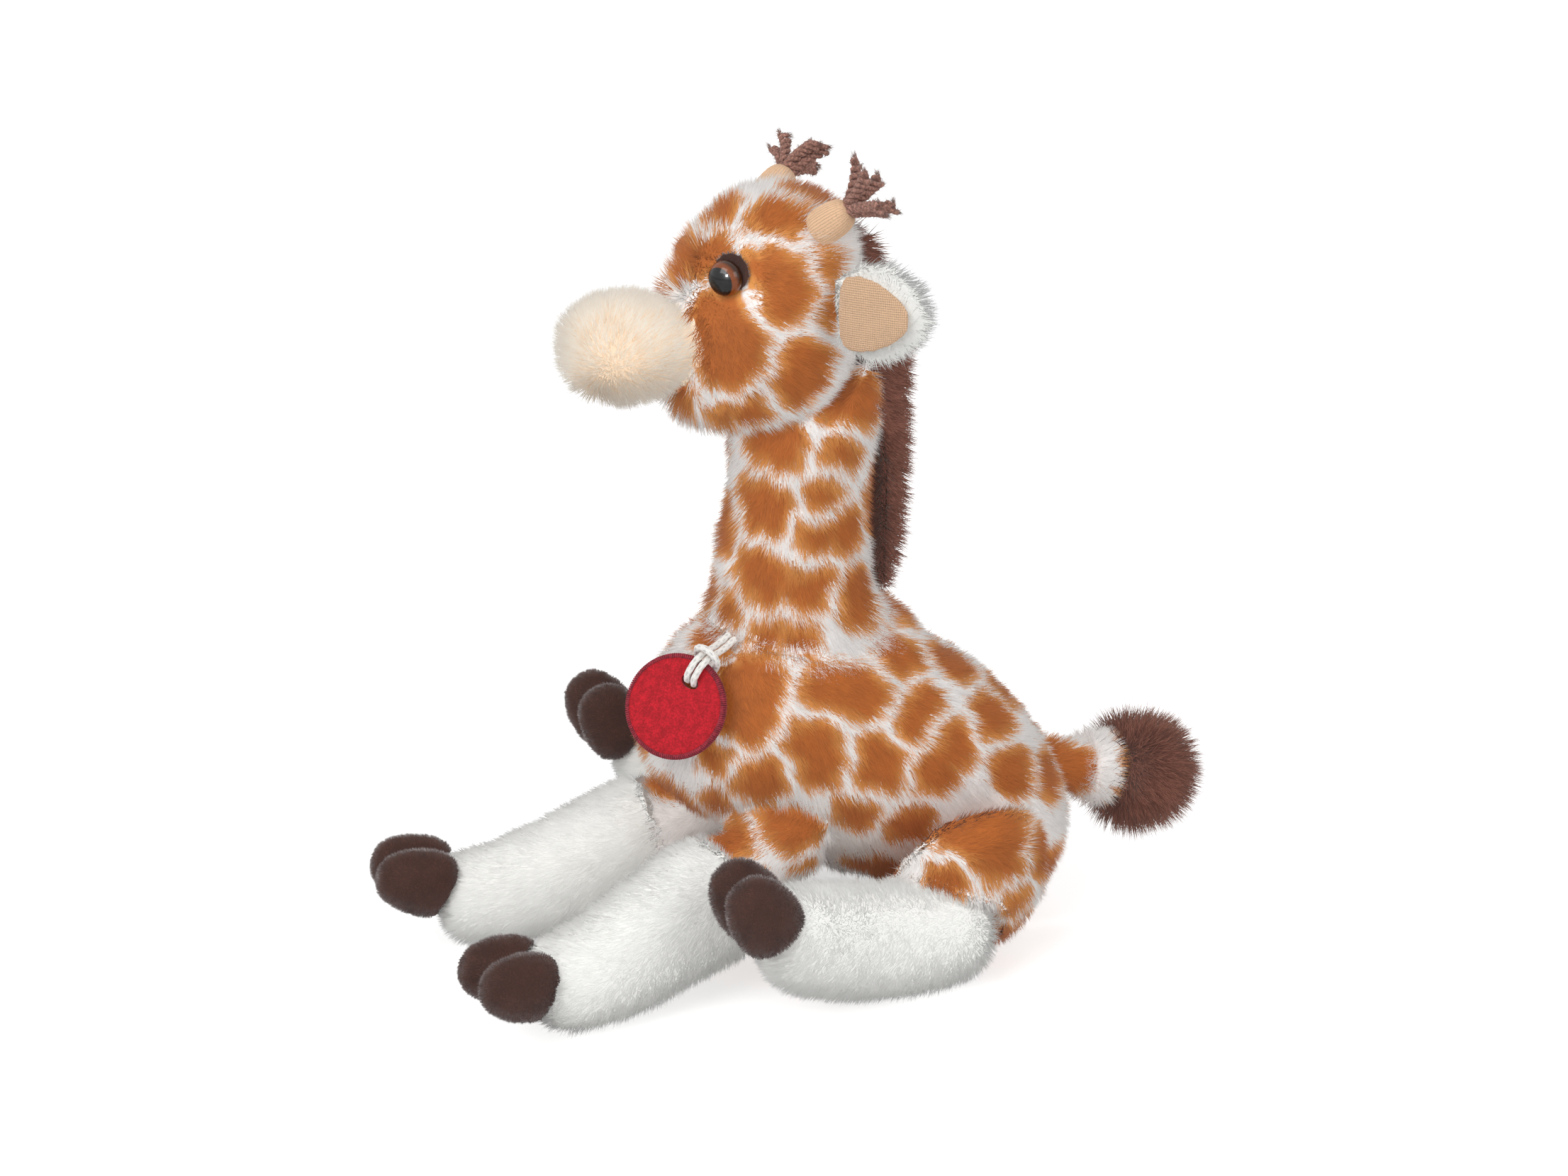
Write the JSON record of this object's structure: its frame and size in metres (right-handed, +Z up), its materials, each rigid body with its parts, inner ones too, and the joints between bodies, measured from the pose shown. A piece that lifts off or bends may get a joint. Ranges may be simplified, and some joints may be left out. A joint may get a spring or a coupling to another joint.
{
  "type": "plush giraffe",
  "caption": "Seated stuffed giraffe with a patterned body, long neck with a mane, cloven hooves, safety eyes, horn stubs with yarn tufts and a round hang tag.",
  "frame": {"origin": "middle of the flat under the rump, on the surface that the toy sits on", "axes": "+Z up; the toy faces -Y; +X towards its left side"},
  "size_m": [0.163, 0.2832, 0.268],
  "materials": {
    "patterned_plush": "short pile plush, caramel patches between off-white lines",
    "white_plush": "short white pile plush",
    "muzzle_plush": "fluffy cream pile plush",
    "mane_plush": "long dark brown pile",
    "hoof_velvet": "short dark brown velvet pile",
    "beige_knit": "fine beige knit",
    "brown_yarn": "plied brown yarn",
    "eye_resin": "polished dark amber resin",
    "washer_plastic": "moulded natural white plastic",
    "tag_felt": "red looped felt",
    "tag_backing": "dark red felt",
    "white_cord": "braided white cord"
  },
  "bodies": {
    "trunk": {"torso": "patterned_plush", "neck": "patterned_plush", "head": "patterned_plush", "muzzle": "muzzle_plush", "mane": "mane_plush", "eye_left": "eye_resin", "eye_right": "eye_resin", "eye_washer_left": "washer_plastic", "eye_washer_right": "washer_plastic", "eye_patch_left": "hoof_velvet", "eye_patch_right": "hoof_velvet", "horn_left": "beige_knit", "horn_right": "beige_knit", "yarn_tuft_left": "brown_yarn", "yarn_tuft_right": "brown_yarn"},
    "front_limb_left": {"front_sleeve_left": "patterned_plush", "front_leg_left": "white_plush", "front_hoof_left": "hoof_velvet"},
    "front_limb_right": {"front_sleeve_right": "patterned_plush", "front_leg_right": "white_plush", "front_hoof_right": "hoof_velvet"},
    "hind_limb_left": {"thigh_left": "patterned_plush", "hind_leg_left": "white_plush", "hind_hoof_left": "hoof_velvet"},
    "hind_limb_right": {"thigh_right": "patterned_plush", "hind_leg_right": "white_plush", "hind_hoof_right": "hoof_velvet"},
    "ear_left": {"ear_back_left": "white_plush", "ear_lining_left": "beige_knit"},
    "ear_right": {"ear_back_right": "white_plush", "ear_lining_right": "beige_knit"},
    "tail_body": {"tail": "patterned_plush", "tail_tuft": "mane_plush"},
    "tag": {"tag_disc": "tag_felt", "tag_backing": "tag_backing", "tag_cord": "white_cord"}
  },
  "joints": [
    {"name": "shoulder_left", "type": "hinge", "parent": "trunk", "child": "front_limb_left", "pos_m": [0.0215, -0.08001, 0.04555], "axis": [-1, 0, 0], "range_deg": [0, 20]},
    {"name": "shoulder_right", "type": "hinge", "parent": "trunk", "child": "front_limb_right", "pos_m": [-0.0215, -0.08001, 0.04555], "axis": [-1, 0, 0], "range_deg": [0, 20]},
    {"name": "hip_left", "type": "hinge", "parent": "trunk", "child": "hind_limb_left", "pos_m": [0.03698, -0.02116, 0.03257], "axis": [-0.866, 0, 0.5], "range_deg": [0, 40]},
    {"name": "hip_right", "type": "hinge", "parent": "trunk", "child": "hind_limb_right", "pos_m": [-0.03698, -0.02116, 0.03257], "axis": [-0.866, 0, -0.5], "range_deg": [0, 40]},
    {"name": "ear_root_left", "type": "hinge", "parent": "trunk", "child": "ear_left", "pos_m": [0.02703, -0.06514, 0.22525], "axis": [0, 0, 1], "range_deg": [-15, 15], "stiffness_Nm_per_rad": 0.004},
    {"name": "ear_root_right", "type": "hinge", "parent": "trunk", "child": "ear_right", "pos_m": [-0.0263, -0.06281, 0.22525], "axis": [0, 0, 1], "range_deg": [-15, 15], "stiffness_Nm_per_rad": 0.004},
    {"name": "tail_root", "type": "hinge", "parent": "trunk", "child": "tail_body", "pos_m": [0, 0.02908, 0.04772], "axis": [1, 0, 0], "range_deg": [0, 25]},
    {"name": "tag_swing", "type": "hinge", "parent": "trunk", "child": "tag", "pos_m": [0.01338, -0.08986, 0.11666], "axis": [-0.682, -0.7314, 0], "range_deg": [0, 60]}
  ]
}
